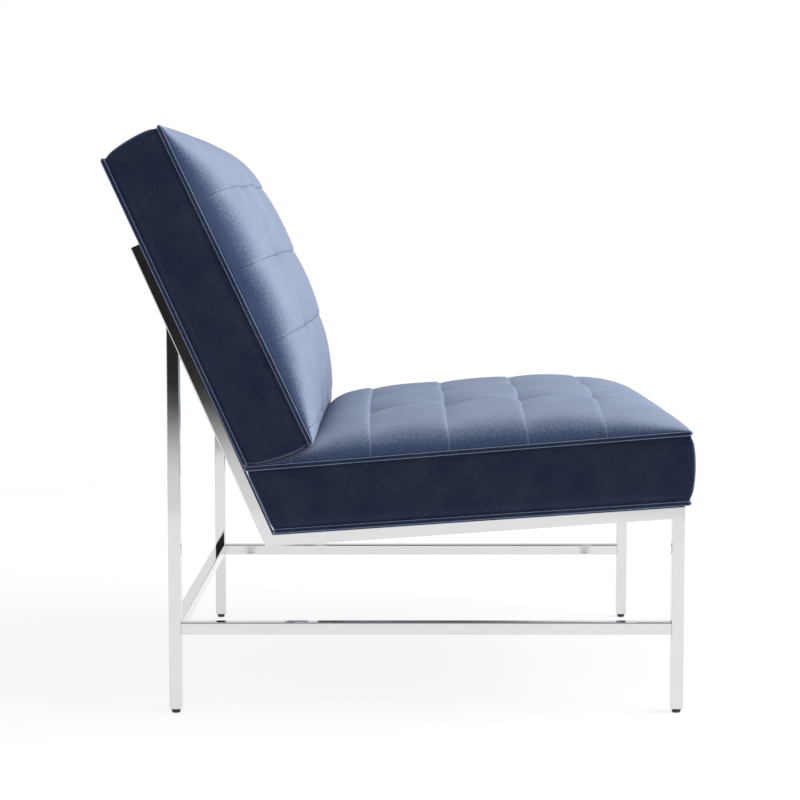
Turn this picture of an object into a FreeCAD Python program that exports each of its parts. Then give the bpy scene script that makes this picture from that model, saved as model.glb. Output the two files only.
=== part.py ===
"""An armless lounge chair: a welded square-tube frame that carries two sewn velvet cushions.

Millimetres, +Z up. The sitter faces -Y, and X runs across the chair. The origin is on the floor, under
the middle of the whole chair. Everything is laid out first with Y = 0 at the rear face of the rear legs,
and moved to that origin when it is written.
"""

import FreeCAD, Part
import math
import os
from FreeCAD import Vector

# Frame tube
tube = 17.5
tube_wall = 1.5
tube_corner = 1.8

# Side frames
frame_width = 712.0
leg_depth = 715.0
rail_corner_y = -135.0
rail_corner_z = 233.8
seat_slope = 3.93
back_recline = 23.93
back_rail_length = 450.3
stretcher_height = 110.5
front_cross_setback = 55.0
corner_cross_setback = 40.0
back_cross_height = 395.0
cap_thickness = 2.0

# Feet
foot_height = 6.0
foot_gap = 0.2
foot_top_flats = 13.0
foot_tip_flats = 10.5
foot_rim = 0.8
foot_screw_radius = 2.95
foot_screw_length = 18.0
thread_clearance = 0.05
plug_length = 24.0
plug_clearance = 0.1

# Both cushions
fit = 0.2
clearance = 0.3
piping_radius = 3.25
piping_inset = 2.0
boxing_bulge = 4.5
side_bulge = 3.0
columns = 4
strips_per_column = 4
crown_power = 3.4
crown_root = 0.66
seam_sink = 2.5
seam_narrowness = 4
channel_share = 0.35
least_bow = 0.4
edge_share = 0.02
panel_wall = 1.5
side_wall = 9.0
foam_bevel = 125.0

# Seat cushion
seat_overhang = 7.0
seat_front_rake = 7.5
seat_front_top = 116.0
seat_rear_top = 108.5
seat_crown = 66.0
seat_row_first = 118.0
seat_row_pitch = 110.0
seat_rows = 6
seat_tuft = 9.0
seat_foam_crown = 38.0
seat_window_inset = 52.0

# Back cushion
back_foot = 114.2
back_lean = 0.67
back_height = 461.0
back_thickness = 84.2
back_foot_drop = 11.0
back_foot_thickness = 92.9
back_top_rise = 9.5
back_crown = 72.0
back_row_first = 112.0
back_row_pitch = 110.0
back_rows = 5
least_row = 20.0
back_tuft = 9.5
back_foam_crown = 42.0
back_panel_wall = 4.2
imprint_gap = 1.0
imprint_wall = 6.0

# Boards and fixings
board_thickness = 12.0
board_inset = 10.0
dust_cover_thickness = 1.2
tab_thickness = 3.0
tab_reach = 28.0
tab_width = 30.0
screw_radius = 3.0
screw_bite = 9.0
screw_head_flats = 10.0
screw_head_height = 4.0
tab_gap = 12.0
back_tab_rise = 60.0

half_width = frame_width / 2
far = 2000.0
parts = {}


class Plane:
    """A side-view frame of two directions at right angles, which turns (p, q) into (Y, Z)."""

    def __init__(self, origin, along, up):
        self.origin = origin
        self.along = along
        self.up = up

    def yz(self, p, q):
        """The side-view point at p along and q up."""
        y = self.origin[0] + p * self.along[0] + q * self.up[0]
        z = self.origin[1] + p * self.along[1] + q * self.up[1]
        return (y, z)

    def shift(self, p, q, turn=0.0):
        """The same plane with its origin moved to (p, q) and both directions turned by degrees."""
        c = math.cos(math.radians(turn))
        s = math.sin(math.radians(turn))
        along = (c * self.along[0] + s * self.up[0], c * self.along[1] + s * self.up[1])
        up = (c * self.up[0] - s * self.along[0], c * self.up[1] - s * self.along[1])
        return Plane(self.yz(p, q), along, up)


slope = math.radians(seat_slope)
recline = math.radians(back_recline)
corner = (rail_corner_y, rail_corner_z)
seat_plane = Plane(corner, (-math.cos(slope), math.sin(slope)), (math.sin(slope), math.cos(slope)))
back_plane = Plane(corner, (math.sin(recline), math.cos(recline)), (-math.cos(recline), math.sin(recline)))
upright = Plane((0.0, 0.0), (0.0, 1.0), (-1.0, 0.0))


def meet(a0, a1, b0, b1):
    """The side-view point where line a0-a1 crosses line b0-b1."""
    ax, ay = a1[0] - a0[0], a1[1] - a0[1]
    bx, by = b1[0] - b0[0], b1[1] - b0[1]
    k = ((b0[0] - a0[0]) * by - (b0[1] - a0[1]) * bx) / (ax * by - ay * bx)
    return (a0[0] + k * ax, a0[1] + k * ay)


def line_at(plane, q):
    """Two points of the line at height q in a plane."""
    return plane.yz(0.0, q), plane.yz(far, q)


def inset(points, distance):
    """A convex side-view outline with every side moved inwards."""
    count = len(points)
    middle = (sum(p[0] for p in points) / count, sum(p[1] for p in points) / count)
    sides = []
    for i in range(count):
        (y0, z0), (y1, z1) = points[i], points[(i + 1) % count]
        length = math.hypot(y1 - y0, z1 - z0)
        ny, nz = -(z1 - z0) / length, (y1 - y0) / length
        if (middle[0] - y0) * ny + (middle[1] - z0) * nz < 0:
            ny, nz = -ny, -nz
        sides.append(((y0 + ny * distance, z0 + nz * distance), (y1 + ny * distance, z1 + nz * distance)))
    return [meet(*sides[i - 1], *sides[i]) for i in range(count)]


def at(x, point):
    """A side-view point placed at X."""
    return Vector(x, point[0], point[1])


def prism(points, x0, x1):
    """A side-view outline pushed through from x0 to x1."""
    wire = Part.makePolygon([at(x0, p) for p in points + points[:1]])
    return Part.Face(wire).extrude(Vector(x1 - x0, 0, 0))


def both_sides(solid):
    """A solid and its mirror image across the chair's middle plane."""
    return [solid, solid.mirror(Vector(0, 0, 0), Vector(1, 0, 0))]


def square_tube(start, direction, length):
    """A hollow square tube of round corners that starts at a point and runs in the Y-Z plane or along X."""
    outer = Part.makeBox(tube, tube, length, Vector(-tube / 2, -tube / 2, 0))
    corners = [edge for edge in outer.Edges if abs(edge.tangentAt(edge.FirstParameter).z) > 0.5]
    bore = tube - 2 * tube_wall
    inner = Part.makeBox(bore, bore, length, Vector(-bore / 2, -bore / 2, 0))
    shape = outer.makeFillet(tube_corner, corners).cut(inner)
    if abs(direction.x) > 0.5:
        turn = FreeCAD.Rotation(Vector(0, 1, 0), 90)
    else:
        turn = FreeCAD.Rotation(Vector(1, 0, 0), math.degrees(math.atan2(-direction.y, direction.z)))
    shape.Placement = FreeCAD.Placement(start, turn)
    return shape


def side_member(plane, q, outline):
    """A tube in a side frame's plane: its centre line is at height q, and the outline cuts its ends."""
    x = half_width - tube / 2
    start = at(x, plane.yz(-far / 2, q))
    run = square_tube(start, at(0, plane.along), far)
    return run.common(prism(outline, half_width - tube - 1, half_width + 1))


def cross_member(plane, p, q):
    """A tube across the chair, square to the two side frames, with its centre at (p, q)."""
    inner = frame_width - 2 * tube
    run = square_tube(Vector(-inner / 2, 0, 0), Vector(1, 0, 0), inner)
    angle = math.degrees(math.atan2(plane.along[1], plane.along[0]))
    run.rotate(Vector(0, 0, 0), Vector(1, 0, 0), angle)
    run.translate(at(0, plane.yz(p, q)))
    return run


def add(name, shape):
    """Keeps one piece under its name."""
    parts[name] = shape


def add_pair(name, solid):
    """Keeps a piece of the left side, at +X, and its mirror image of the right side."""
    left, right = both_sides(solid)
    add("left_" + name, left)
    add("right_" + name, right)


def build_frame():
    """The welded frame: two side frames, joined by one low stretcher and three cross rails."""
    floor = foot_height
    front = (-leg_depth, 0.0), (-leg_depth, 100.0)
    front_inner = (tube - leg_depth, 0.0), (tube - leg_depth, 100.0)
    rear = (0.0, 0.0), (0.0, 100.0)
    rear_inner = (-tube, 0.0), (-tube, 100.0)
    seat_under = line_at(seat_plane, 0.0)
    seat_top = line_at(seat_plane, tube)
    back_under = line_at(back_plane, 0.0)
    back_front = line_at(back_plane, tube)

    front_outer_corner = meet(*front, *seat_top)
    front_inner_corner = meet(*front_inner, *seat_under)
    nook = meet(*seat_top, *back_front)

    front_leg = [(-leg_depth, floor), front_outer_corner, front_inner_corner, (tube - leg_depth, floor)]
    add_pair("front_leg", side_member(upright, leg_depth - tube / 2, front_leg))
    rear_leg = [(0.0, floor), meet(*rear, *back_under), meet(*rear_inner, *back_under), (-tube, floor)]
    add_pair("rear_leg", side_member(upright, tube / 2, rear_leg))
    seat_rail = [corner, nook, front_outer_corner, front_inner_corner]
    add_pair("seat_rail", side_member(seat_plane, tube / 2, seat_rail))
    back_rail = [corner, nook, back_plane.yz(back_rail_length, tube), back_plane.yz(back_rail_length, 0.0)]
    add_pair("back_rail", side_member(back_plane, tube / 2, back_rail))

    side = tube - 2 * tube_wall - 2 * plug_clearance
    cap = Part.makeBox(side, side, cap_thickness, Vector(-side / 2, -side / 2, 0))
    seat_of_cap = back_plane.yz(back_rail_length - cap_thickness, tube / 2)
    add_pair("rail_end_cap", place(cap, half_width - tube / 2, seat_of_cap, back_plane.along))

    level = Plane((0.0, stretcher_height), (-1.0, 0.0), (0.0, 1.0))
    stretcher = [level.yz(tube, 0), level.yz(leg_depth - tube, 0), level.yz(leg_depth - tube, tube)]
    stretcher.append(level.yz(tube, tube))
    add_pair("side_stretcher", side_member(level, tube / 2, stretcher))
    add("rear_stretcher", cross_member(level, tube / 2, tube / 2))
    add("front_cross_rail", cross_member(seat_plane, front_face_p() - front_cross_setback, tube / 2))
    add("corner_cross_rail", cross_member(seat_plane, corner_cross_setback, tube / 2))
    add("back_cross_rail", cross_member(back_plane, back_cross_height, tube / 2))


def front_face_p():
    """How far along the seat rail's top the front face of the front legs lies."""
    return (leg_depth + rail_corner_y + tube * math.sin(slope)) / math.cos(slope)


def build_feet():
    """Four screw-in feet: a threaded plug in each leg's end, and a tapered hexagonal foot with its screw."""
    half = (tube - 2 * tube_wall) / 2 - plug_clearance
    foot_top = foot_height - foot_gap
    for place_name, y in (("front", tube / 2 - leg_depth), ("rear", -tube / 2)):
        for side, x in (("left", half_width - tube / 2), ("right", tube / 2 - half_width)):
            name = place_name + "_" + side
            middle = Vector(x, y, foot_height)
            plug = Part.makeBox(2 * half, 2 * half, plug_length, middle - Vector(half, half, 0))
            hole = Part.makeCylinder(foot_screw_radius + thread_clearance, plug_length, middle)
            add(name + "_leg_plug", plug.cut(hole))
            foot = Part.Face(hexagon_wire(foot_top_flats, Vector(x, y, 0))).extrude(Vector(0, 0, foot_top))
            ground = [edge for edge in foot.Edges if edge.BoundBox.ZMax < foot_rim]
            taper = (foot_top_flats - foot_tip_flats) / 2
            foot = foot.makeChamfer(foot_top - foot_rim, taper, ground)
            screw = Part.makeCylinder(foot_screw_radius, foot_screw_length, Vector(x, y, foot_top))
            add(name + "_foot", foot.fuse(screw))


def fullness(t):
    """How full a cushion is at t, which is -1 and 1 at its edges and 0 in the middle."""
    return 1.0 - abs(t) ** crown_power


class Cushion:
    """A boxed cushion: a side-view outline, a crowned top panel sewn into cells, and piping."""

    def __init__(self, low, high, high_top, low_top, up, crown, first, pitch, rows, tuft, low_bulge):
        self.outline = [low, high, high_top, low_top]
        self.up = up
        self.crown = crown
        self.tuft = tuft
        self.low_bulge = low_bulge
        self.half = half_width + clearance + piping_radius + piping_inset
        length = math.dist(high_top, low_top)
        self.seams = [first + i * pitch for i in range(rows - 1) if first + i * pitch < length - least_row]
        self.length = length

    def top_point(self, s, height):
        """A side-view point over the top line: s back from its high end, at a height above it."""
        (y1, z1), (y0, z0) = self.outline[2], self.outline[3]
        k = s / self.length
        return (y1 + (y0 - y1) * k + self.up[0] * height, z1 + (z0 - z1) * k + self.up[1] * height)

    def rise(self, u, s, sink):
        """The top panel's height above its edges: u across from 0 to 1, s back from the high end."""
        full = fullness(2 * u - 1) * fullness(1 - 2 * s / self.length)
        share = max(full, 0.0) ** crown_root
        return share * (self.crown - sink)

    def section(self, u, grow=0.0):
        """The closed outline at u across the cushion: straight base, bowed ends and one arc per cell."""
        x = (2 * u - 1) * (self.half + grow)
        low, high, high_top, low_top = inset(self.outline, -grow) if grow else self.outline
        pull = math.cos(math.pi * columns * u) ** seam_narrowness
        sink = 0.0 if grow else seam_sink * pull
        dip = 0.0 if grow else self.tuft * (channel_share + (1 - channel_share) * pull)
        tops = [at(x, high_top)]
        tops += [at(x, self.top_point(s, self.rise(u, s, dip) + grow)) for s in self.seams]
        tops.append(at(x, low_top))
        stops = [0.0] + self.seams + [self.length]
        edges = [Part.makeLine(at(x, low), at(x, high))]
        edges.append(bow(x, high, high_top, boxing_bulge, self.outline))
        for i in range(len(tops) - 1):
            s = (stops[i] + stops[i + 1]) / 2
            peak = at(x, self.top_point(s, self.rise(u, s, sink) + grow + least_bow))
            edges.append(Part.Arc(tops[i], peak, tops[i + 1]).toShape())
        edges.append(bow(x, low_top, low, self.low_bulge, self.outline))
        return Part.Wire(edges)

    def outside(self, grow=0.0):
        """The sewn cushion, lofted from side to side through the seams and the middles of the cells."""
        strips = strips_per_column * columns
        cuts = [i / strips for i in range(1, strips)]
        cuts = [0.0, edge_share] + cuts + [1 - edge_share, 1.0]
        return Part.makeLoft([self.section(u, grow) for u in cuts], True, True)

    def side_pad(self):
        """The gentle swell of the boxing on the side at +X."""
        wires = []
        for out, edge in ((0.0, 7.0), (side_bulge * 0.7, 15.0), (side_bulge, 38.0)):
            outline = inset(self.outline, edge)
            wires.append(Part.makePolygon([at(self.half + out, p) for p in outline + outline[:1]]))
        return Part.makeLoft(wires, True, True)

    def piping_loop(self, a, b, other_a, other_b, grow=0.0):
        """The piping round the edge a-b, whose far side in the outline is other_a-other_b."""
        inner = inset([a, b, other_b, other_a], piping_inset)
        x = self.half - piping_inset
        corners = [at(x, inner[0]), at(x, inner[1]), at(-x, inner[1]), at(-x, inner[0])]
        path = Part.makePolygon(corners + corners[:1])
        circle = Part.Wire(Part.makeCircle(piping_radius + grow, corners[0], corners[1] - corners[0]))
        return path.makePipeShell([circle], True, False, 1)

    def rabbet(self, a, b, other_a, other_b):
        """What is left free round the edge a-b for its piping."""
        depth = piping_inset + piping_radius + clearance
        inner = inset([a, b, other_b, other_a], depth)
        run = unit(inner[0], inner[1])
        away = unit(inner[2], inner[1]), unit(inner[3], inner[0])
        low = step(inner[0], run, -far)
        high = step(inner[1], run, far)
        side = step((0, 0), away[1], far)
        whole = prism([low, high, step(high, side, 1.0), step(low, side, 1.0)], -far, far)
        keep = [inner[0], inner[1], step(inner[1], away[0], far), step(inner[0], away[1], far)]
        inner_half = self.half - depth
        return whole.cut(prism(keep, -inner_half, inner_half))

    def foam(self, base, crown, grow=0.0):
        """The foam block: it stands on the side-view edge given as base, and its shoulders are bevelled."""
        low, high = base
        high_top, low_top = inset(self.outline, side_wall - grow)[2:]
        run = unit(low_top, high_top)
        crest_high = step(step(high_top, run, -foam_bevel), self.up, crown + grow)
        crest_low = step(step(low_top, run, foam_bevel), self.up, crown + grow)
        wide = self.half - side_wall + grow
        block = prism([low, high, high_top, crest_high, crest_low, low_top], -wide, wide)
        back_end = step(low_top, run, -far / 2)
        deep = step(back_end, self.up, -far / 2)
        crest = step(back_end, self.up, crown + grow)
        front_view = [(-wide, deep), (wide, deep), (wide, back_end), (wide - foam_bevel, crest),
                      (foam_bevel - wide, crest), (-wide, back_end), (-wide, deep)]
        across = Part.Face(Part.makePolygon([at(x, point) for x, point in front_view]))
        return block.common(across.extrude(at(0, (run[0] * far, run[1] * far))))


def unit(a, b):
    """The side-view direction from a to b."""
    length = math.dist(a, b)
    return ((b[0] - a[0]) / length, (b[1] - a[1]) / length)


def step(point, direction, distance):
    """A side-view point moved along a direction."""
    return (point[0] + direction[0] * distance, point[1] + direction[1] * distance)


def midpoint(a, b):
    """The side-view point halfway between two others."""
    return ((a[0] + b[0]) / 2, (a[1] + b[1]) / 2)


def bow(x, a, b, bulge, outline):
    """The edge from a to b at X, bowed outwards from the outline's middle."""
    if not bulge:
        return Part.makeLine(at(x, a), at(x, b))
    middle = midpoint(midpoint(outline[0], outline[1]), midpoint(outline[2], outline[3]))
    run = unit(a, b)
    out = (-run[1], run[0])
    half = midpoint(a, b)
    if (half[0] - middle[0]) * out[0] + (half[1] - middle[1]) * out[1] < 0:
        out = (-out[0], -out[1])
    return Part.Arc(at(x, a), at(x, step(half, out, bulge)), at(x, b)).toShape()


def seat_cushion():
    """The seat's outline: it lies on the seat rails and against the back rails, clear of the frame."""
    proud = piping_radius - piping_inset + clearance
    bottom = line_at(seat_plane, tube + proud)
    rear = line_at(back_plane, tube + proud)
    reach = front_face_p() + seat_overhang
    high = seat_plane.yz(reach, tube + proud)
    top = seat_plane.yz(0.0, seat_rear_top), seat_plane.yz(reach + seat_front_rake, seat_front_top)
    low = meet(*bottom, *rear)
    low_top = meet(*top, *rear)
    cells = seat_row_first, seat_row_pitch, seat_rows
    return Cushion(low, high, top[1], low_top, seat_plane.up, seat_crown, *cells, seat_tuft, 0.0)


def back_cushion_plane():
    """The back cushion's own plane: along its rear panel, which leans a little more than the rails."""
    proud = piping_radius - piping_inset + clearance
    return back_plane.shift(back_foot, tube + proud, -back_lean)


def back_cushion():
    """The back's outline: it stands over the seat's rear edge, against the front of the back rails."""
    plane = back_cushion_plane()
    low = plane.yz(0.0, 0.0)
    high = plane.yz(back_height, 0.0)
    high_top = plane.yz(back_height + back_top_rise, back_thickness + 5.4)
    low_top = plane.yz(-back_foot_drop, back_foot_thickness)
    cells = back_row_first, back_row_pitch, back_rows
    return Cushion(low, high, high_top, low_top, plane.up, back_crown, *cells, back_tuft, boxing_bulge)


def board_outline(cushion, wall):
    """The side-view outline of a cushion's board, which lies over the panel's wall."""
    low, high = inset(cushion.outline, board_inset)[:2]
    base_low, base_high = inset(cushion.outline, wall)[:2]
    out = (-unit(base_low, base_high)[1], unit(base_low, base_high)[0])
    if out[0] * cushion.up[0] + out[1] * cushion.up[1] < 0:
        out = (-out[0], -out[1])
    start = meet(base_low, base_high, low, step(low, out, 1.0))
    stop = meet(base_low, base_high, high, step(high, out, 1.0))
    return [start, stop, step(stop, out, board_thickness), step(start, out, board_thickness)]


def place(shape, x, point, direction):
    """A shape made upright at the origin, turned to a side-view direction and moved to its place."""
    turn = math.degrees(math.atan2(-direction[0], direction[1]))
    shape.rotate(Vector(0, 0, 0), Vector(1, 0, 0), turn)
    shape.translate(at(x, point))
    return shape


def hexagon_wire(flats, middle):
    """A level hexagonal outline of a size across its flats."""
    radius = flats / math.sqrt(3)
    turns = [math.pi / 3 * i for i in range(7)]
    return Part.makePolygon([middle + Vector(radius * math.cos(t), radius * math.sin(t), 0) for t in turns])


class Fixings:
    """Tabs welded inside the rails, with a hexagon-headed wood screw through each into the board."""

    def __init__(self, plane, tab_top, board_low, stations):
        self.plane = plane
        self.tab_low = tab_top - tab_thickness
        self.board_low = board_low
        self.inner = half_width - tube - tab_reach
        self.x = self.inner + tab_reach * 0.35
        self.places = [(x, p) for p in stations for x in (self.x, -self.x)]

    def each(self, make, q):
        """One copy of a shape at every fixing, with its foot at height q."""
        return [place(make(), x, self.plane.yz(p, q), self.plane.up) for x, p in self.places]

    def holes(self, radius, q, length):
        """Round holes at every fixing, from height q upwards."""
        return Part.makeCompound(self.each(lambda: Part.makeCylinder(radius, length), q))

    def slits(self, q, length):
        """Square slits through a cover at every fixing."""
        side = 2 * (screw_radius + clearance)
        corner = Vector(-side / 2, -side / 2, 0)
        return Part.makeCompound(self.each(lambda: Part.makeBox(side, side, length, corner), q))

    def tabs(self):
        """The welded steel tabs."""
        solids = []
        for x, p in self.places:
            low = self.plane.yz(p - tab_width / 2, self.tab_low)
            high = self.plane.yz(p + tab_width / 2, self.tab_low)
            outline = [low, high, step(high, self.plane.up, tab_thickness),
                       step(low, self.plane.up, tab_thickness)]
            reach = prism(outline, self.inner, self.inner + tab_reach)
            solids.append(reach if x > 0 else reach.mirror(Vector(0, 0, 0), Vector(1, 0, 0)))
        holes = self.holes(screw_radius + clearance, self.tab_low - 1, tab_thickness + 2)
        return Part.makeCompound([solid.cut(holes) for solid in solids])

    def screws(self):
        """The screws, whose heads bear on the tabs."""
        length = self.board_low + screw_bite - self.tab_low

        def screw():
            head = Part.Face(hexagon_wire(screw_head_flats, Vector(0, 0, 0)))
            shank = Part.makeCylinder(screw_radius, length, Vector(0, 0, screw_head_height))
            return head.extrude(Vector(0, 0, screw_head_height)).fuse(shank)

        return Part.makeCompound(self.each(screw, self.tab_low - screw_head_height))


def frame_room():
    """The space of the rails that press into the back cushion, with a clearance round them."""
    front = tube + clearance
    end = back_rail_length + clearance
    rail = [back_plane.yz(0, -far), back_plane.yz(end, -far), back_plane.yz(end, front), back_plane.yz(0, front)]
    rails = both_sides(prism(rail, half_width - front, half_width + clearance))
    reach = tube / 2 + clearance
    low, high = back_cross_height - reach, back_cross_height + reach
    cross = [back_plane.yz(low, -far), back_plane.yz(high, -far), back_plane.yz(high, front)]
    cross.append(back_plane.yz(low, front))
    return Part.makeCompound(rails + [prism(cross, -half_width, half_width)])


def dress(name, cushion, wall, foam_crown, fixings, pressed_by=None):
    """Builds one cushion's board, foam, cover, piping and fixings, and returns the cover."""
    low, high, high_top, low_top = cushion.outline
    outline = board_outline(cushion, wall)
    inner = cushion.half - board_inset
    foam_base = inset([outline[3], outline[2], high_top, low_top], fit)[:2]
    foam = cushion.foam(foam_base, foam_crown)
    room = [cushion.foam((outline[3], outline[2]), foam_crown, fit)]
    room.append(prism(inset(outline, -fit), -inner - fit, inner + fit))
    cover = cushion.outside().multiFuse(both_sides(cushion.side_pad()))
    if pressed_by:
        low, high, high_top, low_top = pressed_by.outline
        groove = pressed_by.piping_loop(low_top, high_top, low, high, clearance)
        cover = cover.cut([pressed_by.outside(imprint_gap), groove])
        low, high, high_top, low_top = cushion.outline
        foam = foam.cut(pressed_by.outside(imprint_wall + fit))
        room[0] = room[0].cut(pressed_by.outside(imprint_wall))
    room.append(cushion.rabbet(low_top, high_top, low, high))
    room.append(cushion.rabbet(low, high, low_top, high_top))
    room.append(fixings.slits(fixings.board_low - wall - 1, wall + 1))
    pilots = fixings.holes(screw_radius + thread_clearance, fixings.board_low, board_thickness)
    add(name + "_board", prism(outline, -inner, inner).cut(pilots))
    add(name + "_foam", foam)
    add(name + "_tabs", fixings.tabs())
    add(name + "_screws", fixings.screws())
    return cover.cut(room)


def seat_window(seat, base):
    """The side-view outline of the opening in the seat cover's underside, filled by the dust cover."""
    low, high = inset(seat.outline, seat_window_inset)[:2]
    out = seat_plane.up
    corners = []
    for q, ends in ((base, (low, high)), (base + panel_wall, (high, low))):
        line = line_at(seat_plane, q)
        corners += [meet(*line, end, step(end, out, 1)) for end in ends]
    return corners


def build_cushions():
    """The seat and the back, each with its board, foam, cover, piping and fixings."""
    seat = seat_cushion()
    back = back_cushion()
    base = tube + clearance + piping_radius - piping_inset

    from_rail = tube / 2 + tab_gap + tab_width / 2
    stations = corner_cross_setback + from_rail, front_face_p() - front_cross_setback - from_rail
    fixings = Fixings(seat_plane, tube, base + panel_wall, stations)
    cover = dress("seat", seat, panel_wall, seat_foam_crown, fixings, back)
    window = seat_window(seat, base)
    across = seat.half - seat_window_inset
    add("seat_cover", cover.cut(prism(inset(window, -clearance), -across - clearance, across + clearance)))
    sheet = [window[0], window[1], step(window[1], seat_plane.up, dust_cover_thickness),
             step(window[0], seat_plane.up, dust_cover_thickness)]
    add("seat_dust_cover", prism(sheet, -across, across))
    low, high, high_top, low_top = seat.outline
    add("seat_top_piping", seat.piping_loop(low_top, high_top, low, high))
    add("seat_bottom_piping", seat.piping_loop(low, high, low_top, high_top))

    stations = back_tab_rise, back_cross_height - back_foot - from_rail
    fixings = Fixings(back_cushion_plane(), -clearance, back_panel_wall, stations)
    cover = dress("back", back, back_panel_wall, back_foam_crown, fixings)
    add("back_cover", cover.cut(frame_room()))
    low, high, high_top, low_top = back.outline
    add("back_front_piping", back.piping_loop(low_top, high_top, low, high))
    add("back_rear_piping", back.piping_loop(low, high, low_top, high_top))


def write_parts():
    """Moves everything so that the origin is under the chair's middle, and writes one file per piece."""
    box = Part.makeCompound(list(parts.values())).BoundBox
    centre = (box.YMin + box.YMax) / 2
    os.makedirs("parts", exist_ok=True)
    for name, shape in parts.items():
        moved = shape.copy()
        moved.translate(Vector(0, -centre, 0))
        moved.exportStep("parts/" + name + ".step")
        print(f"{name}: {len(moved.Solids)} solid, {moved.Volume / 1000:.1f} cm3, valid {moved.isValid()}")
    print(f"size {box.XLength:.1f} x {box.YLength:.1f} x {box.ZMax:.1f} mm, moved {-centre:.2f} in Y")


build_frame()
build_feet()
build_cushions()
write_parts()
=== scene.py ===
"""An armless lounge chair: two quilted velvet cushions on a frame of polished square tube.

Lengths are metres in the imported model's frame: +Z up, the sitter faces -Y, +X is the sitter's left.
"""
import logging
import math
from dataclasses import dataclass, replace
from enum import Enum
from typing import Any, Sequence

import bmesh
import bpy
from mathutils import Matrix, Vector
from mathutils.bvhtree import BVHTree


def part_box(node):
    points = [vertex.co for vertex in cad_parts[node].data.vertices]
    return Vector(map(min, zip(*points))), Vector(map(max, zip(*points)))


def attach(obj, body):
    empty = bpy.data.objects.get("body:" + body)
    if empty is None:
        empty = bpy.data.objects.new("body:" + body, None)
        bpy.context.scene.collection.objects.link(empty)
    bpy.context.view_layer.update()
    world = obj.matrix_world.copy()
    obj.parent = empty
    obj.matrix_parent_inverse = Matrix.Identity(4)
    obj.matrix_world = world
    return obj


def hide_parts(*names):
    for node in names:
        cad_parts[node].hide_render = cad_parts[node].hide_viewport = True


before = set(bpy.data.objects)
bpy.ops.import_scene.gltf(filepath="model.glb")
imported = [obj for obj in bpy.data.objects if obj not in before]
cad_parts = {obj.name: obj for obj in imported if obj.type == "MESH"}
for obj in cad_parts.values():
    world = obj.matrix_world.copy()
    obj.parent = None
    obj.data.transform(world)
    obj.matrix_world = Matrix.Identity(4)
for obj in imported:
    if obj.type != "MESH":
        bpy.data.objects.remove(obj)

log = logging.getLogger("chair")
MM = 0.001
BODY = "chair"

# where a cushion's mesh lines lie beside a seam, inwards of the piping, and down the boxing
BESIDE_SEAM = (0.9 * MM, 2.2 * MM, 4.5 * MM, 8 * MM, 13 * MM)
BESIDE_PIPING = (4 * MM, 6.5 * MM, 10 * MM, 14 * MM, 20 * MM, 28 * MM)
BESIDE_EDGE = (3 * MM, 5.5 * MM, 9 * MM, 15 * MM)
# the widest gaps between lines on a panel and on the boxing
PANEL_GAP, BOXING_GAP = 14 * MM, 12 * MM
# close lines reach this share of the way to the next seam
CLOSE_REACH = 0.4
# a line this near a seam lies on it, points this near are one, and lengths this near are equal
ON_SEAM, ONE_POINT, EQUAL = 0.1 * MM, 0.05 * MM, 0.001 * MM


# ---------------------------------------------------------------- finishes


def srgb(code: str) -> tuple[float, float, float, float]:
    """Turns an sRGB hex colour to linear values.

    Args:
        code: six hex digits.

    Returns:
        Red, green, blue and an alpha of 1.
    """
    parts = [int(code[i : i + 2], 16) / 255 for i in (0, 2, 4)]
    linear = [c / 12.92 if c <= 0.04045 else ((c + 0.055) / 1.055) ** 2.4 for c in parts]
    return (*linear, 1.0)


def add_node(tree: bpy.types.NodeTree, kind: str, inputs: dict[Any, Any] | None = None,
             **settings: Any) -> Any:
    """Adds a node to a tree.

    Args:
        tree: the node tree.
        kind: the node's class name.
        inputs: a value or an output socket for each input, by name or number.
        settings: the node's own properties.

    Returns:
        The new node.
    """
    node = tree.nodes.new(kind)
    for name, value in settings.items():
        setattr(node, name, value)
    for name, value in (inputs or {}).items():
        if isinstance(value, bpy.types.NodeSocket):
            tree.links.new(value, node.inputs[name])
        else:
            node.inputs[name].default_value = value
    return node


@dataclass(frozen=True)
class Fade:
    """A change between two levels, made while some value runs from a start to an end."""

    start: float
    end: float
    before: float = 0.0
    after: float = 1.0

    def inputs(self, value: bpy.types.NodeSocket) -> dict[str, Any]:
        """Returns the inputs of a Map Range node that makes this change along a value."""
        return {"Value": value, "From Min": self.start, "From Max": self.end,
                "To Min": self.before, "To Max": self.after}


@dataclass(frozen=True)
class Finish:
    """A real finish: its name, slot and colours."""

    name: str
    slot: str
    light: str
    dark: str

    def start(self) -> tuple[bpy.types.Material, bpy.types.NodeTree, Any]:
        """Makes an empty material.

        Returns:
            The material, its tree and its output node.
        """
        made = bpy.data.materials.new(self.name)
        made.use_nodes = True
        made.node_tree.nodes.clear()
        return made, made.node_tree, made.node_tree.nodes.new("ShaderNodeOutputMaterial")

    def material(self) -> bpy.types.Material:
        """Returns the finish's material."""
        raise NotImplementedError


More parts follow.
